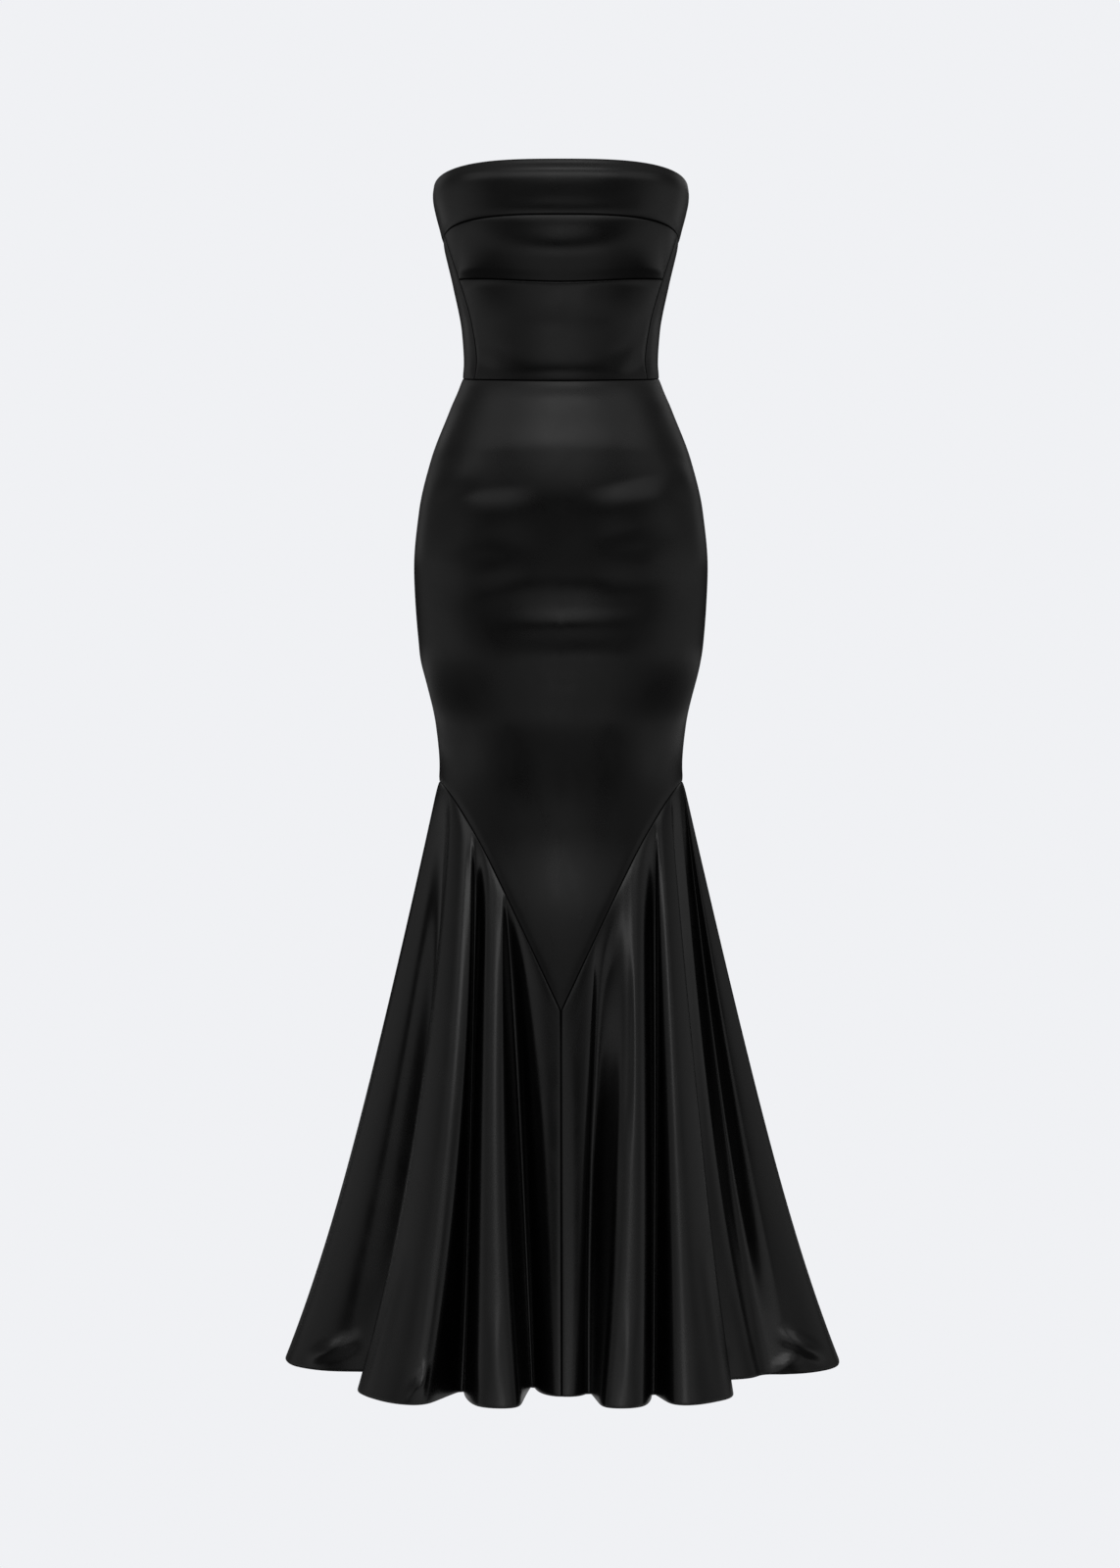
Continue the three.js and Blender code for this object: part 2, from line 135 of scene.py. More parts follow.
# Where the distance round the fitted part is measured, and how closely the curves are followed.
HIP_Z = -0.2
ROUND_TO = 200  # degrees either way from the centre front
ROUND_COUNT = 1601
ROUND_STEP = 2 * ROUND_TO / (ROUND_COUNT - 1)
LINE_STEPS = 60000
HEM_STEPS = 6000
PANEL_STEPS = 2000
LENGTH_PLACES = 9
SETTLING_ROUNDS = 6
NEAR_TURN = 0.05  # degrees to either side, to find a direction
SLOPE_TURN = 0.1  # degrees to either side, to find a seam's slope
NEAR_LINE = 0.01  # places among the fold lines, or shares of the flare's height

# The creases and soft swellings of the fitted part.
# angle and z: its middle. turn: how far its line turns up towards the wearer's left, in
# degrees. length: from its middle to either end. up and down: how wide its upper and its lower
# flank are. height: how far it stands out, or sinks where it is below 0.
CREASE_COLUMNS = "angle z turn length up down height".split()
SKIRT_CREASES = [
    (-27, -0.161, 4, 0.058, 0.030, 0.044, 0.0025),
    (-30, -0.222, 14, 0.056, 0.034, 0.030, 0.0019),
    (30, -0.152, 13, 0.064, 0.030, 0.042, 0.0028),
    (29, -0.210, 12, 0.052, 0.034, 0.034, 0.0019),
    (2, -0.302, 0, 0.270, 0.072, 0.095, 0.0060),
    (5, -0.281, 1, 0.110, 0.018, 0.016, 0.0007),
    (3, -0.314, 0, 0.085, 0.014, 0.018, 0.0007),
    (6, -0.356, -1, 0.075, 0.020, 0.020, 0.0007),
    (-50, -0.120, 12, 0.050, 0.030, 0.026, 0.0014),
    (58, -0.118, -10, 0.050, 0.026, 0.030, 0.0014),
    (118, -0.165, -8, 0.060, 0.026, 0.020, 0.0022),
    (150, -0.250, 3, 0.080, 0.030, 0.020, 0.0026),
    (-125, -0.150, 7, 0.060, 0.028, 0.018, 0.0026),
    (-152, -0.272, -4, 0.075, 0.032, 0.022, 0.0024),
    (178, -0.205, 2, 0.070, 0.026, 0.022, 0.0018),
    (-175, -0.322, -2, 0.070, 0.022, 0.018, 0.0014),
    (104, -0.330, 9, 0.045, 0.022, 0.018, 0.0012),
    (-100, -0.315, -8, 0.050, 0.022, 0.020, 0.0014),
]
BODICE_CREASES = [
    (0, 0.115, 0, 0.165, 0.039, 0.030, 0.0053),
    (0, 0.041, 0, 0.125, 0.044, 0.044, 0.0028),
    (0, 0.208, 0, 0.280, 0.014, 0.032, 0.0016),
    (44, 0.012, 28, 0.030, 0.016, 0.012, 0.0016),
    (50, 0.030, 40, 0.026, 0.014, 0.010, 0.0010),
    (-46, 0.016, -18, 0.026, 0.014, 0.012, 0.0008),
    (20, 0.060, 62, 0.050, 0.028, 0.026, -0.0008),
    (150, 0.030, 3, 0.050, 0.018, 0.014, 0.0014),
    (-148, 0.046, -4, 0.055, 0.020, 0.014, 0.0014),
    (165, 0.085, -12, 0.040, 0.018, 0.014, 0.0009),
    (-120, 0.020, 14, 0.040, 0.018, 0.012, 0.0010),
]

# The hollow of one valley near the V seam, and the crinkles of the flare, most of them where it
# turns at the hem. Their angles are the hem's.
FLARE_CREASES = [
    (10, -0.745, 90, 0.120, 0.018, 0.018, -0.0035),
    (-73, -1.074, 24, 0.036, 0.013, 0.015, 0.0042),
    (-65, -1.062, 72, 0.032, 0.013, 0.013, 0.0060),
    (-30, -1.072, 64, 0.030, 0.012, 0.013, 0.0080),
    (72, -1.070, -28, 0.038, 0.014, 0.013, 0.0046),
    (69, -1.086, 28, 0.026, 0.010, 0.010, 0.0032),
    (-43, -1.030, 84, 0.080, 0.012, 0.018, 0.0022),
    (36, -1.025, 97, 0.090, 0.012, 0.016, 0.0022),
    (14, -1.050, 92, 0.060, 0.010, 0.012, 0.0014),
    (-14, -1.045, 88, 0.055, 0.010, 0.012, 0.0014),
    (52, -1.078, 60, 0.026, 0.012, 0.012, 0.0050),
    (106, -1.072, -30, 0.034, 0.013, 0.014, 0.0044),
    (127, -1.066, 66, 0.030, 0.012, 0.013, 0.0058),
    (150, -1.070, -62, 0.030, 0.012, 0.012, 0.0064),
    (-104, -1.068, 30, 0.036, 0.013, 0.013, 0.0046),
    (-128, -1.072, -68, 0.030, 0.012, 0.012, 0.0060),
    (-152, -1.064, 60, 0.032, 0.012, 0.013, 0.0056),
    (171, -1.076, 40, 0.024, 0.010, 0.012, 0.0036),
    (140, -1.030, 86, 0.080, 0.012, 0.018, 0.0020),
    (-141, -1.028, 95, 0.085, 0.013, 0.016, 0.0022),
    (-115, -1.035, 88, 0.070, 0.012, 0.016, 0.0018),
]


def columns_of(rows, names):
    """A table's rows as dicts."""
    return [dict(zip(names, row)) for row in rows]


def smooth_column(at, values, closed=False):
    """A smooth curve through one column of a table that never overshoots, as a function of
    another column. A closed table's last row is its first one again."""
    at = np.array(at, float)
    values = np.array(values, float)
    rises = np.diff(values) / np.diff(at)
    before = np.append(rises[-1 if closed else 0], rises)
    after = np.append(rises, rises[0 if closed else -1])
    turns = before * after <= 0
    slopes = np.where(turns, 0, 2 * before * after / np.where(turns, 1, before + after))

    def curve(place):
        i = np.clip(np.searchsorted(at, place, side="right") - 1, 0, len(at) - 2)
        step = at[i + 1] - at[i]
        t = np.clip((place - at[i]) / step, 0, 1)
        back = 1 - t
        return (
            values[i] * back * back * (1 + 2 * t)
            + values[i + 1] * t * t * (1 + 2 * back)
            + slopes[i] * step * t * back * back
            - slopes[i + 1] * step * t * t * back
        )

    return curve


def section_column(name):
    rising = SECTIONS[::-1]
    return smooth_column([row["z"] for row in rising], [row[name] for row in rising])


half_width_at = section_column("half_width")
front_at = section_column("front")
back_at = section_column("back")
fullness_at = section_column("full")


def fold_lines():
    """The lines that the folds follow from the V seam down to the hem: each ridge's first
    shoulder, its crest and its second shoulder, and the valley after it."""
    lines = []
    for fold in columns_of(FOLDS, FOLD_COLUMNS):
        narrowing = fold["seam_width"] / fold["width"]
        crown = CROWN_PER_DEGREE * fold["width"]
        for turn, rise in (
            (-fold["width"] / 2, fold["lean"] / 2),
            (fold["crest"], crown),
            (fold["width"] / 2, -fold["lean"] / 2),
        ):
            seam = fold["seam"] + turn * narrowing
            lines.append((seam, fold["hem"] + turn, fold["reach"] + rise, fold["bow"]))
        lines.append([fold["valley_" + name] for name in ("seam", "hem", "reach", "bow")])
    return np.array(lines)


FOLD_LINES = fold_lines()
LINE_COUNT = len(FOLD_LINES)


def line_column(column, turn):
    """One column of those lines, for a place among them that may run on past the last line to
    the first one again, where the angles have grown by a full turn."""
    values = FOLD_LINES[:, column]
    curve = smooth_column(range(LINE_COUNT + 1), np.append(values, values[0] + turn), True)
    return lambda line: curve(line % LINE_COUNT) + turn * (line // LINE_COUNT)


seam_angle_at = line_column(0, 360)
hem_angle_at = line_column(1, 360)
reach_at = line_column(2, 0)
bow_at = line_column(3, 0)


def line_leaving(angle):
    """The place among those lines that leaves the V seam at an angle."""
    lines = np.linspace(0, LINE_COUNT + 2, LINE_STEPS)
    return np.interp(angle, seam_angle_at(lines), lines)


def stack(x, y, z):
    return np.stack(np.broadcast_arrays(x, y, z), axis=-1).astype(float)


def unit(vectors):
    return vectors / np.linalg.norm(vectors, axis=-1, keepdims=True)


def body_point(angle, z):
    """A point of the fitted part's outer face."""
    turn = np.radians(angle)
    across, ahead = np.sin(turn), np.cos(turn)
    depth = np.where(ahead > 0, front_at(z), back_at(z))
    full = 1 + fullness_at(z) * np.sin(2 * turn) ** 2
    return stack(half_width_at(z) * across * full, -depth * ahead * full, z)


def body_outward(angle, z):
    """The level direction out of the fitted part's face."""
    along = body_point(angle + NEAR_TURN, z) - body_point(angle - NEAR_TURN, z)
    return unit(stack(along[..., 1], -along[..., 0], 0 * z))


# The seams, each as a height for an angle.
def neckline(angle):
    return NECKLINE_Z - BAND_DIP * np.sin(np.radians(angle)) ** 4


def band_seam(angle):
    return BAND_SEAM_Z - BAND_DIP * np.sin(np.radians(angle)) ** 4


def bust_seam(angle):
    return BUST_SEAM_Z + BUST_SEAM_RISE * np.sin(np.radians(angle)) ** 2


def waist_seam(angle):
    return -WAIST_DIP * np.maximum(0, np.cos(np.radians(angle)))


def v_seam(angle):
    turn = np.abs((angle + 180) % 360 - 180)
    from_point = np.minimum(turn, 180 - turn) / 90
    return V_SEAM_SIDE_Z - V_SEAM_DROP * (1 - from_point) ** V_SEAM_CURVE


def side_front_seam(z):
    """The bodice's side front seam, as an angle for a height."""
    share = np.maximum(0, z / BAND_SEAM_Z) ** SIDE_FRONT_CURVE
    return SIDE_FRONT_AT_WAIST + (SIDE_FRONT_AT_BAND - SIDE_FRONT_AT_WAIST) * share


def reach_of_degree(angle, z):
    """Metres round the fitted part for each degree."""
    return np.linalg.norm(body_point(angle + 0.5, z) - body_point(angle - 0.5, z), axis=-1)


def slope_factor(seam, angle):
    """Metres straight down for each metre square to a sloping seam."""
    inside = np.where(angle < 0, -1, 1) * np.clip(np.abs(angle), 1, 179)
    rise = seam(inside + SLOPE_TURN) - seam(inside - SLOPE_TURN)
    run = 2 * SLOPE_TURN * reach_of_degree(inside, seam(inside))
    return np.hypot(1, rise / run)


ROUND_ANGLES = np.linspace(-ROUND_TO, ROUND_TO, ROUND_COUNT)
ROUND_REACHES = reach_of_degree(ROUND_ANGLES, np.full(ROUND_COUNT, HIP_Z))
ROUND_LENGTHS = np.cumsum(ROUND_REACHES) * ROUND_STEP


def length_round(angle):
    """The distance round the fitted part, at the height of the hips, to an angle."""
    return np.interp(angle, ROUND_ANGLES, ROUND_LENGTHS)


def creased(creases, place_of, angle, z):
    """How far the creases move the cloth out, at each angle and height. place_of gives the
    distance round the gown to an angle, at those heights."""
    moved = np.zeros(np.broadcast(angle, z).shape)
    place = place_of(angle)
    for crease in columns_of(creases, CREASE_COLUMNS):
        across = place - place_of(crease["angle"])
        up = z - crease["z"]
        turn = np.radians(crease["turn"])
        along = (across * np.cos(turn) + up * np.sin(turn)) / crease["length"]
        beside = up * np.cos(turn) - across * np.sin(turn)
        beside = beside / np.where(beside > 0, crease["up"], crease["down"])
        end = np.clip(1 - along**2, 0, 1) ** 2
        side = np.clip(1 - beside**2, 0, 1) ** 2
        moved += crease["height"] * end * side
    return moved


def steps(length, cell):
    """Distances from an edge, close together near both edges and even between them."""
    count = max(2, round((length - 2 * EDGE_WIDTH) / cell) + 1)
    middle = np.linspace(EDGE_WIDTH, length - EDGE_WIDTH, count)[1:-1]
    return np.concatenate([EDGE_STEPS, middle, length - EDGE_STEPS[::-1]])


def rolled(distance, radius):
    """How far the cloth's round edge lies in from its face."""
    short = np.clip(1 - distance / radius, 0, 1)
    return radius * (1 - np.sqrt(1 - short**2))


def edge_sink(distance):
    """How far the cloth turns in, at a distance from a seam."""
    return rolled(distance, EDGE_ROLL) + SEAM_SINK * np.exp(-distance / SEAM_SINK_REACH)


def drops(down, length, near_top, first, last, near_low):
    """How far below the seam above each row lies, straight down. down is how far each row is
    from the top of a piece of that length. The rows near either seam follow it, as near_top and
    near_low say, and those between them are even, from first to last."""
    row = np.arange(len(down))[:, None]
    share = (down - EDGE_WIDTH) / (length - 2 * EDGE_WIDTH)
    even = first + (last - first) * share[:, None]
    follows_low = np.where(row >= len(down) - len(EDGE_STEPS), near_low, even)
    return np.where(row < len(EDGE_STEPS), near_top, follows_low)


def shell_faces(rows, columns):
    """The faces of a closed shell: its outer layer, its inner one, and the rim between them."""
    layer = rows * columns
    index = np.arange(layer).reshape(rows, columns)
    corners = [index[:-1, :-1], index[1:, :-1], index[1:, 1:], index[:-1, 1:]]
    outer = np.stack(corners, axis=-1).reshape(-1, 4)
    rim = np.concatenate([index[0, ::-1], index[1:, 0], index[-1, 1:], index[-2:0:-1, -1]])
    after = np.roll(rim, -1)
    sides = np.stack([after, rim, rim + layer, after + layer], axis=-1)
    return np.concatenate([outer, outer[:, ::-1] + layer, sides])


def spacing(points, axis):
    """The distances between neighbours along one axis of a grid of points."""
    return np.linalg.norm(np.diff(points, axis=axis), axis=-1)


def places_on_cloth(outer):
    """Where each point of the outer layer lies on the flat cloth, in metres round the gown from
    the piece's middle and down it from its upper edge."""
    places = np.zeros((*outer.shape[:2], 2))
    places[:, 1:, 0] = np.cumsum(spacing(outer, 1), axis=1)
    places[..., 0] -= places[:, outer.shape[1] // 2, 0][:, None]
    places[1:, :, 1] = np.cumsum(spacing(outer, 0), axis=0)
    return places.reshape(-1, 2)


def cloth_piece(points, outward, from_seam, from_fold, facts):
    """A thin closed shell. points is the grid of its outer face, with rows that run down the
    gown and columns that run round it with the angle rising. from_seam and from_fold are how
    far each of them is from the nearest seam, and from the neckline's or the hem's fold."""
    sink = edge_sink(from_seam) + rolled(from_fold, FOLD_ROLL)
    outer = points - outward * sink[..., None]
    inner = points - outward * (FOLD_ROLL + CLOTH)
    rows, columns = points.shape[:2]
    layer = rows * columns
    faces = shell_faces(rows, columns)

    name = facts["node"] + "_cloth"
    mesh = bpy.data.meshes.new(name)
    mesh.vertices.add(2 * layer)
    mesh.vertices.foreach_set("co", np.concatenate([outer, inner]).ravel())
    mesh.loops.add(faces.size)
    mesh.loops.foreach_set("vertex_index", faces.ravel())
    mesh.polygons.add(len(faces))
    mesh.polygons.foreach_set("loop_start", np.arange(0, faces.size, 4))
    mesh.update(calc_edges=True)
    mesh.polygons.foreach_set("use_smooth", np.ones(len(faces), bool))
    places = np.concatenate([places_on_cloth(outer)] * 2)
    mesh.uv_layers.new(name="cloth").data.foreach_set("uv", places[faces.ravel()].ravel())
    seam_distance = np.broadcast_to(from_seam, (rows, columns)).ravel()
    seam_distance = np.concatenate([seam_distance, np.zeros(layer)])
    # the shader reads this distance for the rougher pressed line and for the painted shade along each
    # seam
    mesh.attributes.new("from_seam", "FLOAT", "POINT").data.foreach_set("value", seam_distance)
    mesh.validate()

    piece = bpy.data.objects.new(name, mesh)
    bpy.context.scene.collection.objects.link(piece)
    mesh.materials.append(facts["material"])
    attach(piece, "root")
    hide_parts(facts["node"])


def fitted_piece(facts, top, bottom, side_from, side_to):
    """A piece of the fitted part, from one seam down to another, and round it from one angle to
    another, each a function of the height."""
    width = (side_to(0) - side_from(0)) * reach_of_degree(90, HIP_Z)
    places = np.linspace(side_from(0), side_to(0), LENGTH_PLACES)
    length = np.max(top(places) - bottom(places))
    down = steps(length, CELL)
    share_round = steps(width, CELL) / width

    def height_at(angle):
        high = top(angle)
        drop = high - bottom(angle)
        slope_top = slope_factor(top, angle)
        slope_low = slope_factor(bottom, angle)
        near_top = down[:, None] * slope_top
        near_low = drop - (length - down)[:, None] * slope_low
        first = EDGE_WIDTH * slope_top
        last = drop - EDGE_WIDTH * slope_low
        dropped = drops(down, length, near_top, first, last, near_low)
        gap_top = SEAM_GAP / 2 * slope_top
        gap_low = SEAM_GAP / 2 * slope_low
        return high - gap_top - dropped * (drop - gap_top - gap_low) / drop

    angle = side_from(0) + (side_to(0) - side_from(0)) * share_round[None, :]
    z = height_at(angle)
    for _ in range(SETTLING_ROUNDS):
        first = side_from(z) + SEAM_GAP / 2 / reach_of_degree(angle, z)
        last = side_to(z) - SEAM_GAP / 2 / reach_of_degree(angle, z)
        angle = first + (last - first) * share_round[None, :]
        z = height_at(angle)
    points = body_point(angle, z)
    outward = body_outward(angle, z)
    narrower = half_width_at(z) / half_width_at(np.array(HIP_Z))

    def place_of(any_angle):
        return length_round(any_angle) * narrower

    relief = creased(BODICE_CREASES + SKIRT_CREASES, place_of, angle, z)
    distance_down = np.minimum(down, length - down)[:, None]
    distance_round = np.minimum(share_round, 1 - share_round)[None, :] * width
    distance = np.minimum(distance_down, distance_round)
    points += outward * (relief * np.clip(distance / RELIEF_FADE, 0, 1))[..., None]
    from_fold = np.full(points.shape[:2], np.inf)
    if top is neckline:
        distance = np.minimum((length - down)[:, None], distance_round)
        from_fold = np.broadcast_to(down[:, None], from_fold.shape)
    cloth_piece(points, outward, distance, from_fold, facts)


def hem_point(angle, reach=None):
    """A point of the hem at an angle: on the smooth hem, or at a given reach."""
    turn = np.radians(angle)
    across, ahead = np.sin(turn), np.cos(turn)
    depth = np.where(ahead > 0, SMOOTH_HEM["front"], SMOOTH_HEM["back"])
    smooth = 1 / np.hypot(across / SMOOTH_HEM["half_width"], ahead / depth)
    far = smooth if reach is None else reach
    return stack(far * across, -far * ahead, HEM_Z)


def rounded_hem():
    """The folded hem's plan with its bends evened out, as points for lines all the way round."""
    lines = np.linspace(0, LINE_COUNT, HEM_STEPS, endpoint=False)
    plan = hem_point(hem_angle_at(lines), reach_at(lines))[:, :2]
    lengths = np.linalg.norm(np.roll(plan, -1, axis=0) - plan, axis=-1)
    along = np.append(0, np.cumsum(lengths))
    even = np.linspace(0, along[-1], HEM_STEPS, endpoint=False)
    closed = np.append(plan, plan[:1], axis=0)
    away = np.minimum(even, along[-1] - even)
    weight = np.exp(-((away / FOLD_ROUNDING) ** 2) / 2)
    spread = np.fft.fft(weight / weight.sum())
    rounded = []
    for axis in range(2):
        values = np.interp(even, along, closed[:, axis])
        smoothed = np.fft.ifft(np.fft.fft(values) * spread).real
        rounded.append(np.interp(along[:-1], even, smoothed, period=along[-1]))
    return lines, *rounded


HEM_LINES, HEM_X, HEM_Y = rounded_hem()
HEM_ANGLES = hem_angle_at(HEM_LINES)
HEM_LENGTHS = np.append(0, np.cumsum(np.hypot(np.diff(HEM_X), np.diff(HEM_Y))))


def hem_length(angle):
    """The distance along the folded hem from its first line to an angle."""
    turned = (np.asarray(angle) - HEM_ANGLES[0]) % 360 + HEM_ANGLES[0]
    return np.interp(turned, HEM_ANGLES, HEM_LENGTHS)


def folded_hem_point(line):
    """A point of the folded hem, for a place among the fold lines."""
    x = np.interp(line, HEM_LINES, HEM_X, period=LINE_COUNT)
    y = np.interp(line, HEM_LINES, HEM_Y, period=LINE_COUNT)
    return stack(x, y, HEM_Z)


def flare_point(line, down):
    """A point of the flare's outer face. line is a place among the lines of the folds, and down
    runs from 0 at the V seam to 1 at the hem."""
    seam_angle = seam_angle_at(line)
    top = body_point(seam_angle, v_seam(seam_angle))
    smooth = hem_point(hem_angle_at(line))
    folded = folded_hem_point(line)
    hollow = down * (1 - down) * (HOLLOW + HOLLOW_LOW * down**2)
    widened = (down - hollow)[..., None]
    deepened = (down * (1 + EARLY_FOLDS * (1 - down)))[..., None]
    turn = np.radians(hem_angle_at(line))
    swing = (bow_at(line) * 4 * down * (1 - down))[..., None]
    sideways = stack(np.cos(turn), np.sin(turn), 0 * turn)
    point = top + (smooth - top) * widened + (folded - smooth) * deepened + sideways * swing
    point[..., 2] = top[..., 2] + (HEM_Z - top[..., 2]) * down
    return point


def flare_outward(line, down):
    """The level direction out of the flare's face. At the V seam it is the fitted part's own."""
    height = np.clip(down, NEAR_LINE, 1 - NEAR_LINE)
    along = flare_point(line + NEAR_LINE, height) - flare_point(line - NEAR_LINE, height)
    fall = flare_point(line, height + NEAR_LINE) - flare_point(line, height - NEAR_LINE)
    own = np.cross(fall, along)
    own[..., 2] = 0
    own = unit(own)
    seam_angle = seam_angle_at(line)
    above = body_outward(seam_angle, v_seam(seam_angle))
    share = np.clip(down / WALL_TURN, 0, 1)
    turned = (share * share * (3 - 2 * share))[..., None]
    return unit(above + (own - above) * turned)


def flare_piece(facts, from_angle, to_angle):
    """A quarter of the flare, from one seam to another."""
    lines = np.linspace(line_leaving(from_angle), line_leaving(to_angle), PANEL_STEPS)
    hem = flare_point(lines, np.ones(PANEL_STEPS))
    along = np.append(0, np.cumsum(spacing(hem, 0)))
    width = along[-1]
    across = steps(width, FLARE_CELL)
    line = np.interp(across, along, lines)[None, :]
    length = V_SEAM_SIDE_Z - HEM_Z
    down = steps(length, FLARE_CELL)
    angle = seam_angle_at(line)
    drop = v_seam(angle) - HEM_Z
    slope = slope_factor(v_seam, angle)
    near_top = (down[:, None] + SEAM_GAP / 2) * slope
    near_low = drop - (length - down)[:, None]
    dropped = drops(down, length, near_top, EDGE_WIDTH * slope, drop - EDGE_WIDTH, near_low)
    share = dropped / drop
    line = np.broadcast_to(line, share.shape)
    points = flare_point(line, share)
    outward = flare_outward(line, share)
    beside = np.minimum(across, width - across)[None, :]
    distance = np.minimum(dropped / slope, beside)
    relief = creased(FLARE_CREASES, hem_length, hem_angle_at(line), points[..., 2])
    points += outward * (relief * np.clip(distance / RELIEF_FADE, 0, 1))[..., None]
    from_fold = np.broadcast_to(drop - dropped, points.shape[:2])
    cloth_piece(points, outward, distance, from_fold, facts)


# Materials
BLACK = (0.0014, 0.0014, 0.0015, 1)
SHEEN = 0.002
SHEEN_ROUGHNESS = 0.45
WEAVE_SIZE = 0.0005  # from one thread to the next
FLOAT_LENGTH = 0.0025  # of the threads that lie on the face, down the cloth
CLOUD_SCALE = 16  # of the broad changes of the gloss
MARK_SCALE = 55  # of the handling marks
ROUGHNESS_CHANGE = 0.035
GRAIN_CHANGE = 0.02
PRESSED_REACH = 0.012  # how far from a seam the cloth is pressed dull
PRESSED_CHANGE = 0.04
SEAM_PAINTED_SHADE_REACH = 0.0017  # how far the painted shade of a seam reaches onto the cloth, where its specular level falls to nothing
WEAVE_BUMP = dict(strength=0.12, distance=0.00004)
MARK_BUMP = dict(strength=0.06, distance=0.0003)


def add_math(nodes, links, operation, first, second=None):
    """A math node; each input is a socket or a number."""
    node = nodes.new("ShaderNodeMath")
    node.operation = operation
    for socket, value in zip(node.inputs, (first, second)):
        if value is None:
            continue
        if isinstance(value, (int, float)):
            socket.default_value = value
        else:
            links.new(value, socket)
    return node.outputs[0]


def add_range(nodes, links, value, from_low, from_high, to_low, to_high):
    node = nodes.new("ShaderNodeMapRange")
    node.interpolation_type = "SMOOTHSTEP"
    for name, number in (
        ("From Min", from_low),
        ("From Max", from_high),
        ("To Min", to_low),
        ("To Max", to_high),
    ):
        node.inputs[name].default_value = number
    links.new(value, node.inputs["Value"])
    return node.outputs["Result"]


def add_noise(nodes, links, place, scale, detail):
    node = nodes.new("ShaderNodeTexNoise")
    node.inputs["Scale"].default_value = scale
    node.inputs["Detail"].default_value = detail
    links.new(place, node.inputs["Vector"])
    return node.outputs["Fac"]


def add_bump(nodes, links, height, strength, distance):
    node = nodes.new("ShaderNodeBump")
    node.inputs["Strength"].default_value = strength
    node.inputs["Distance"].default_value = distance
    links.new(height, node.inputs["Height"])
    return node


def satin(name, roughness, gloss, stretch):
    """Black satin: a fine weave with long floats down the cloth, a soft gloss that varies a
    little, faint handling marks, a dull pressed line at each seam, and painted shade along each
    seam, where the specular level falls to nothing so that the groove reads dark. stretch: how
    much more the floats spread a highlight round the gown than up and down."""
    material = bpy.data.materials.new(name)
    material.use_nodes = True
    nodes, links = material.node_tree.nodes, material.node_tree.links
    shader = nodes["Principled BSDF"]
    shader.inputs["Base Color"].default_value = BLACK
    shader.inputs["Sheen Weight"].default_value = SHEEN
    shader.inputs["Sheen Roughness"].default_value = SHEEN_ROUGHNESS
    shader.inputs["Anisotropic"].default_value = stretch
    shader.inputs["Specular IOR Level"].default_value = gloss

    cloth = nodes.new("ShaderNodeUVMap")
    cloth.uv_map = "cloth"
    floats = nodes.new("ShaderNodeTangent")
    floats.direction_type = "UV_MAP"
    floats.uv_map = "cloth"
    links.new(floats.outputs["Tangent"], shader.inputs["Tangent"])
    threads = nodes.new("ShaderNodeMapping")
    threads.inputs["Scale"].default_value = (1 / WEAVE_SIZE, 1 / FLOAT_LENGTH, 1)
    links.new(cloth.outputs["UV"], threads.inputs["Vector"])
    weave = add_noise(nodes, links, threads.outputs["Vector"], scale=1, detail=1)
    clouds = add_noise(nodes, links, cloth.outputs["UV"], CLOUD_SCALE, detail=3)
    marks = add_noise(nodes, links, cloth.outputs["UV"], MARK_SCALE, detail=2)

    smoother, rougher = roughness - ROUGHNESS_CHANGE, roughness + ROUGHNESS_CHANGE
    rough = add_range(nodes, links, clouds, 0.3, 0.7, smoother, rougher)
    grain = add_range(nodes, links, weave, 0.2, 0.8, -GRAIN_CHANGE, GRAIN_CHANGE)
    seam = nodes.new("ShaderNodeAttribute")
    seam.attribute_name = "from_seam"
    from_seam = seam.outputs["Fac"]
    pressed = add_range(nodes, links, from_seam, 0.0, PRESSED_REACH, PRESSED_CHANGE, 0.0)
    total = add_math(nodes, links, "ADD", add_math(nodes, links, "ADD", rough, grain), pressed)
    links.new(total, shader.inputs["Roughness"])
    # painted shade along each seam: the specular level falls from its full value to nothing at the
    # seam, so the groove reads dark
    painted_seam_shade = add_range(nodes, links, from_seam, 0.0, SEAM_PAINTED_SHADE_REACH, 0.0, gloss)
    links.new(painted_seam_shade, shader.inputs["Specular IOR Level"])

    fine = add_bump(nodes, links, weave, **WEAVE_BUMP)
    handled = add_bump(nodes, links, marks, **MARK_BUMP)
    links.new(fine.outputs["Normal"], handled.inputs["Normal"])
    links.new(handled.outputs["Normal"], shader.inputs["Normal"])
    return material


FITTED_SATIN = satin("black_satin_fitted", roughness=0.31, gloss=0.5, stretch=0.7)
FLARE_SATIN = satin("black_satin_flare", roughness=0.25, gloss=0.72, stretch=0.0)


def facts_of(node, held, rests_on=()):
    """What is said of a piece besides its shape."""
    material = FLARE_SATIN if node.startswith("flare") else FITTED_SATIN
    return dict(node=node, held=held, material=material, rests_on=list(rests_on))


def straight_seam(angle):
    """A seam that runs straight down at an angle, as an angle for a height."""
    return lambda z: angle + 0 * z


def right_side_front_seam(z):
    return -side_front_seam(z)


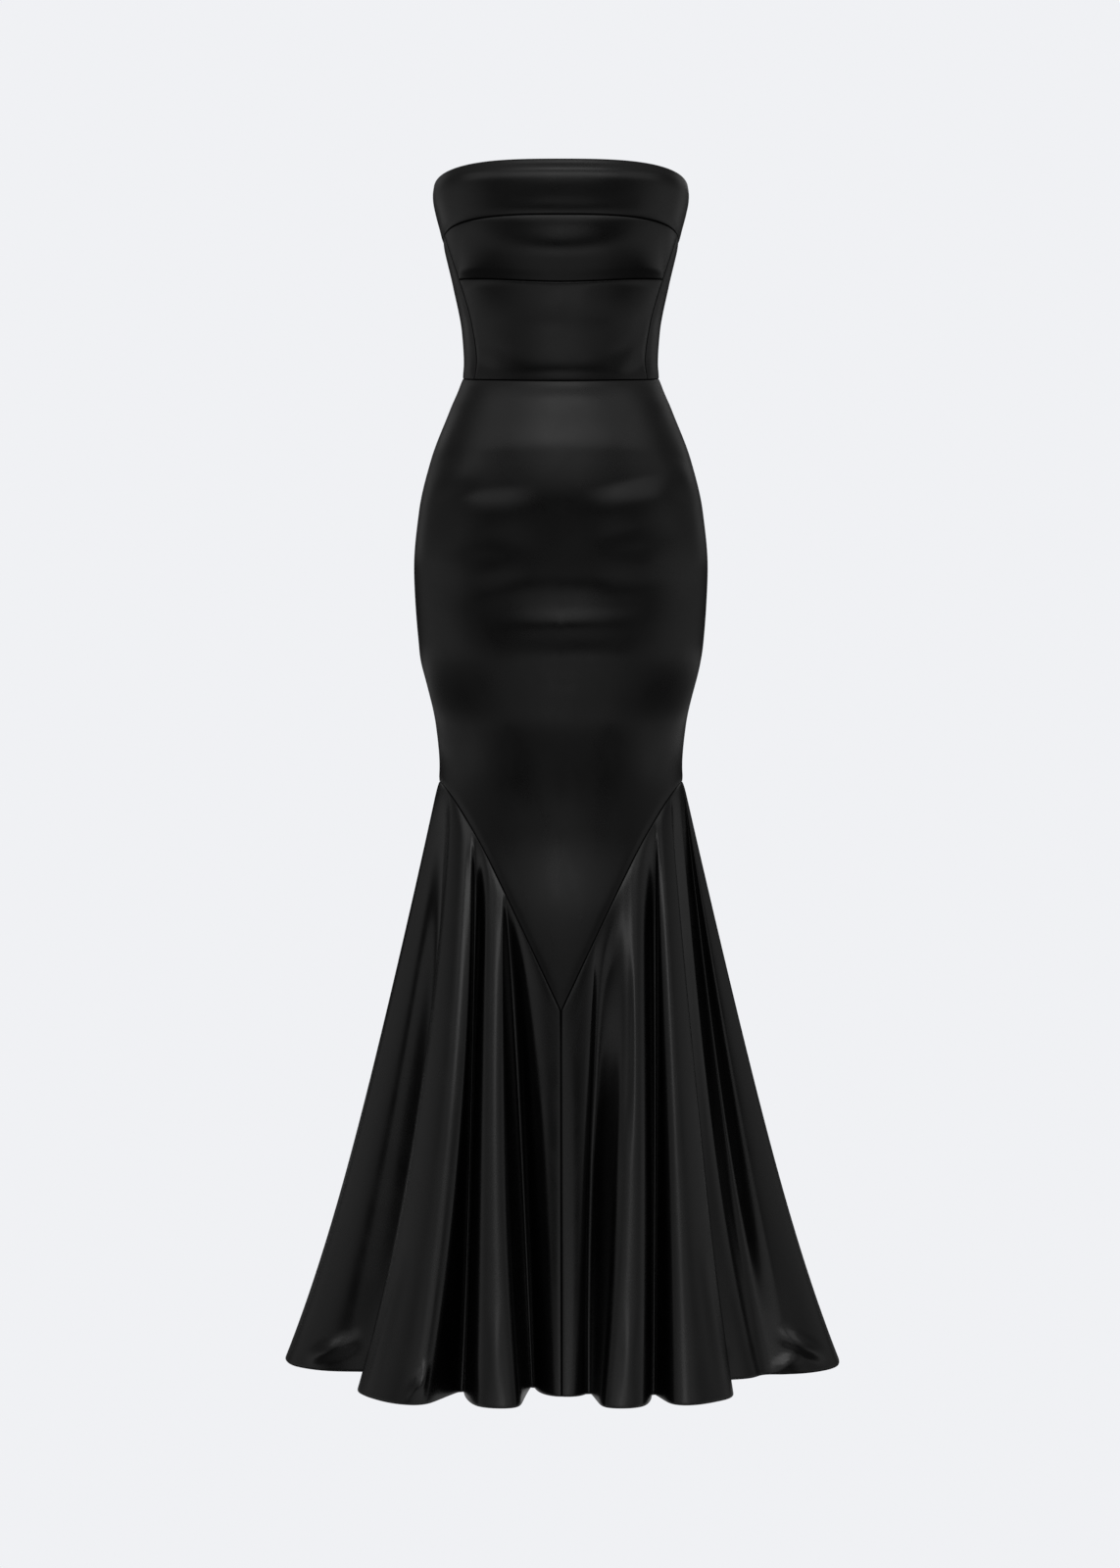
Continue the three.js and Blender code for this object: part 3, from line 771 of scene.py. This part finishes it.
def gown():
    """The fitted pieces from the neckline down, and the four quarters of the flare."""
    left_seam, right_seam = side_front_seam, right_side_front_seam
    front = (straight_seam(-90), straight_seam(90))
    back_left = (straight_seam(90), straight_seam(180))
    back_right = (straight_seam(-180), straight_seam(-90))
    fitted = [
        ("band_front", neckline, band_seam, *front),
        ("band_back_left", neckline, band_seam, *back_left),
        ("band_back_right", neckline, band_seam, *back_right),
        ("bodice_bust_front", band_seam, bust_seam, right_seam, left_seam),
        ("bodice_waist_front", bust_seam, waist_seam, right_seam, left_seam),
        ("bodice_back_left", band_seam, waist_seam, left_seam, back_left[1]),
        ("bodice_back_right", band_seam, waist_seam, back_right[0], right_seam),
        ("skirt_front", waist_seam, v_seam, *front),
        ("skirt_back_left", waist_seam, v_seam, *back_left),
        ("skirt_back_right", waist_seam, v_seam, *back_right),
    ]
    for node, top, bottom, side_from, side_to in fitted:
        fitted_piece(facts_of(node, "stretched"), top, bottom, side_from, side_to)
    for node, above, from_angle, to_angle in (
        ("flare_front_left", "skirt_front", 0, 90),
        ("flare_front_right", "skirt_front", -90, 0),
        ("flare_back_left", "skirt_back_left", 90, 180),
        ("flare_back_right", "skirt_back_right", -180, -90),
    ):
        flare_piece(facts_of(node, "hung", [above]), from_angle, to_angle)


gown()

# The studio
BACKGROUND = (0.871, 0.880, 0.905)

# The floor, and how bright the cloth finds it: in front of the gown, beside it, and farther out
# at the sides. Distances are from the gown's middle.
FLOOR_RADIUS = 14
FLOOR_CORNERS = 96
FLOOR_BELOW_HEM = 0.001
FLOOR_FRONT = 0.34
FLOOR_SIDES = 0.06
FLOOR_FAR_SIDES = 0.4
FLOOR_SIDE_REACH = (2.8, 5.8)  # across, where it begins and ends to brighten
FLOOR_SIDE_TURN = (0.25, 1.1)  # metres across for each one ahead, from the front to the sides
FLOOR_LEAST_AHEAD = 0.3
FLOOR_FADES = (5.0, 12.0)  # ahead, where the floor's light begins and ends to fade
FLOOR_FADED = 0.1  # of its light, past there

# How bright the room in front of the gown is, by the sine of the angle above the horizon, and
# how bright it is at the gown's sides.
FRONT_LIGHT = [(0.0, 0.02), (0.17, 0.02), (0.31, 0.21), (0.42, 0.29), (0.6, 0.3), (1.0, 0.3)]
SIDE_LIGHT = [
    (0.0, 0.40), (0.07, 0.39), (0.2, 0.25), (0.35, 0.13), (0.5, 0.10), (0.7, 0.18), (1.0, 0.3),
]
SIDE_FROM = 0.5  # the direction's share across the gown where the side light sets in
SIDE_FULL = 1.0
BACK_SHARE = 0.5  # of all that light, as it is behind the gown
BACK_TURN = (-0.35, 0.75)  # the direction's share towards the back over which it changes
MIX_A, MIX_B, MIX_RESULT = 6, 7, 2  # where a mix node has its colour sockets

# The softboxes. x, y, z: the middle of each. width and height: its size. level: how bright it is.
SOFTBOX_COLUMNS = "name x y z width height level".split()
SOFTBOXES = [
    ("key", 0.0, -2.7, 1.46, 2.2, 0.79, 0.95),
    ("key_edge", 0.0, -2.7, 0.95, 2.0, 0.23, 0.5),
    ("low_key", 0.05, -2.7, 0.62, 0.9, 0.5, 0.7),
    ("top", 0.0, -2.3, 2.75, 1.4, 0.8, 1.4),
    ("fill", 0.1, -2.7, -0.41, 1.9, 0.60, 0.28),
    ("left_high", 2.05, -1.5, 1.35, 1.7, 1.1, 0.36),
    ("right_high", -2.05, -1.5, 1.35, 1.7, 1.1, 0.42),
    ("back", 0.3, 2.7, 1.3, 2.0, 1.0, 0.6),
    ("left_rim", 1.9, 1.9, 0.8, 1.2, 1.6, 0.22),
    ("right_rim", -1.9, 1.9, 0.8, 1.2, 1.6, 0.22),
]
AIM_Z = -0.35  # the height on the gown that they are turned to

LENS_MM = 65.45
SENSOR_MM = 36
CAMERA_PLACE = (-0.001, -3.2, -0.455)


def light_ramp(nodes, levels):
    """A colour ramp with a grey level at each place."""
    ramp = nodes.new("ShaderNodeValToRGB")
    ramp.color_ramp.interpolation = "EASE"
    marks = ramp.color_ramp.elements
    marks[0].position = levels[0][0]
    marks[0].color = (levels[0][1],) * 3 + (1,)
    marks[1].position = levels[-1][0]
    marks[1].color = (levels[-1][1],) * 3 + (1,)
    for height, level in levels[1:-1]:
        marks.new(height).color = (level,) * 3 + (1,)
    return ramp


def world():
    """The pale studio as the camera sees it, and the room's soft light as it falls on the
    cloth: from high up in front and from low down at both sides, with dim room between."""
    made = bpy.data.worlds.new("studio")
    bpy.context.scene.world = made
    made.use_nodes = True
    nodes, links = made.node_tree.nodes, made.node_tree.links
    nodes.clear()
    output = nodes.new("ShaderNodeOutputWorld")
    mix = nodes.new("ShaderNodeMixShader")
    path = nodes.new("ShaderNodeLightPath")
    direction = nodes.new("ShaderNodeTexCoord")
    apart = nodes.new("ShaderNodeSeparateXYZ")
    links.new(direction.outputs["Generated"], apart.inputs[0])
    front = light_ramp(nodes, FRONT_LIGHT)
    side = light_ramp(nodes, SIDE_LIGHT)
    links.new(apart.outputs["Z"], front.inputs["Fac"])
    links.new(apart.outputs["Z"], side.inputs["Fac"])
    across = add_math(nodes, links, "ABSOLUTE", apart.outputs["X"])
    sideways = add_range(nodes, links, across, SIDE_FROM, SIDE_FULL, 0, 1)
    both = nodes.new("ShaderNodeMix")
    both.data_type = "RGBA"
    links.new(sideways, both.inputs["Factor"])
    links.new(front.outputs["Color"], both.inputs[MIX_A])
    links.new(side.outputs["Color"], both.inputs[MIX_B])
    facing = add_range(nodes, links, apart.outputs["Y"], *BACK_TURN, 1, BACK_SHARE)
    room = nodes.new("ShaderNodeBackground")
    links.new(both.outputs[MIX_RESULT], room.inputs["Color"])
    links.new(facing, room.inputs["Strength"])
    pale = nodes.new("ShaderNodeBackground")
    pale.inputs["Color"].default_value = (*BACKGROUND, 1)
    links.new(path.outputs["Is Camera Ray"], mix.inputs["Fac"])
    links.new(room.outputs[0], mix.inputs[1])
    links.new(pale.outputs[0], mix.inputs[2])
    links.new(mix.outputs[0], output.inputs["Surface"])


def softboxes():
    """A softly lit panel for each row of the table, turned to the gown."""
    for box in columns_of(SOFTBOXES, SOFTBOX_COLUMNS):
        light = bpy.data.lights.new(box["name"], "AREA")
        light.shape = "RECTANGLE"
        light.size = box["width"]
        light.size_y = box["height"]
        light.energy = box["level"] * np.pi * box["width"] * box["height"]
        lamp = bpy.data.objects.new(box["name"], light)
        place = Vector((box["x"], box["y"], box["z"]))
        lamp.location = place
        lamp.rotation_euler = (Vector((0, 0, AIM_Z)) - place).to_track_quat("-Z", "Y").to_euler()
        lamp.visible_camera = False
        bpy.context.scene.collection.objects.link(lamp)


def floor():
    """A disc that is pale to the camera and dimmer to the cloth."""
    turn = np.linspace(0, 2 * np.pi, FLOOR_CORNERS, endpoint=False)
    ring = FLOOR_RADIUS * stack(np.cos(turn), np.sin(turn), 0)
    ring[:, 2] = HEM_Z - FLOOR_BELOW_HEM
    mesh = bpy.data.meshes.new("floor")
    mesh.from_pydata([tuple(point) for point in ring], [], [tuple(range(FLOOR_CORNERS))])
    made = bpy.data.objects.new("floor", mesh)
    bpy.context.scene.collection.objects.link(made)
    material = bpy.data.materials.new("floor")
    material.use_nodes = True
    nodes, links = material.node_tree.nodes, material.node_tree.links
    nodes.clear()
    output = nodes.new("ShaderNodeOutputMaterial")
    mix = nodes.new("ShaderNodeMixShader")
    path = nodes.new("ShaderNodeLightPath")
    dim = nodes.new("ShaderNodeEmission")
    where = nodes.new("ShaderNodeTexCoord")
    apart = nodes.new("ShaderNodeSeparateXYZ")
    links.new(where.outputs["Object"], apart.inputs[0])
    across = add_math(nodes, links, "ABSOLUTE", apart.outputs["X"])
    forward = add_math(nodes, links, "MULTIPLY", apart.outputs["Y"], -1)
    ahead = add_math(nodes, links, "MAXIMUM", forward, FLOOR_LEAST_AHEAD)
    sideways = add_math(nodes, links, "DIVIDE", across, ahead)
    beside = add_range(nodes, links, across, *FLOOR_SIDE_REACH, FLOOR_SIDES, FLOOR_FAR_SIDES)
    share = add_range(nodes, links, sideways, *FLOOR_SIDE_TURN, 0, 1)
    change = add_math(nodes, links, "SUBTRACT", beside, FLOOR_FRONT)
    rest = add_math(nodes, links, "MULTIPLY", change, share)
    level = add_math(nodes, links, "ADD", rest, FLOOR_FRONT)
    fade = add_range(nodes, links, ahead, *FLOOR_FADES, 1, FLOOR_FADED)
    links.new(add_math(nodes, links, "MULTIPLY", level, fade), dim.inputs["Strength"])
    pale = nodes.new("ShaderNodeEmission")
    pale.inputs["Color"].default_value = (*BACKGROUND, 1)
    links.new(path.outputs["Is Camera Ray"], mix.inputs["Fac"])
    links.new(dim.outputs[0], mix.inputs[1])
    links.new(pale.outputs[0], mix.inputs[2])
    links.new(mix.outputs[0], output.inputs["Surface"])
    mesh.materials.append(material)


def camera():
    """The camera that takes the photo's view, level and straight ahead."""
    data = bpy.data.cameras.new("camera")
    data.lens = LENS_MM
    data.sensor_width = SENSOR_MM
    made = bpy.data.objects.new("camera", data)
    made.location = CAMERA_PLACE
    made.rotation_euler = (np.pi / 2, 0, 0)
    bpy.context.scene.collection.objects.link(made)
    bpy.context.scene.camera = made


world()
softboxes()
floor()
camera()
bpy.context.scene.view_settings.view_transform = "Standard"
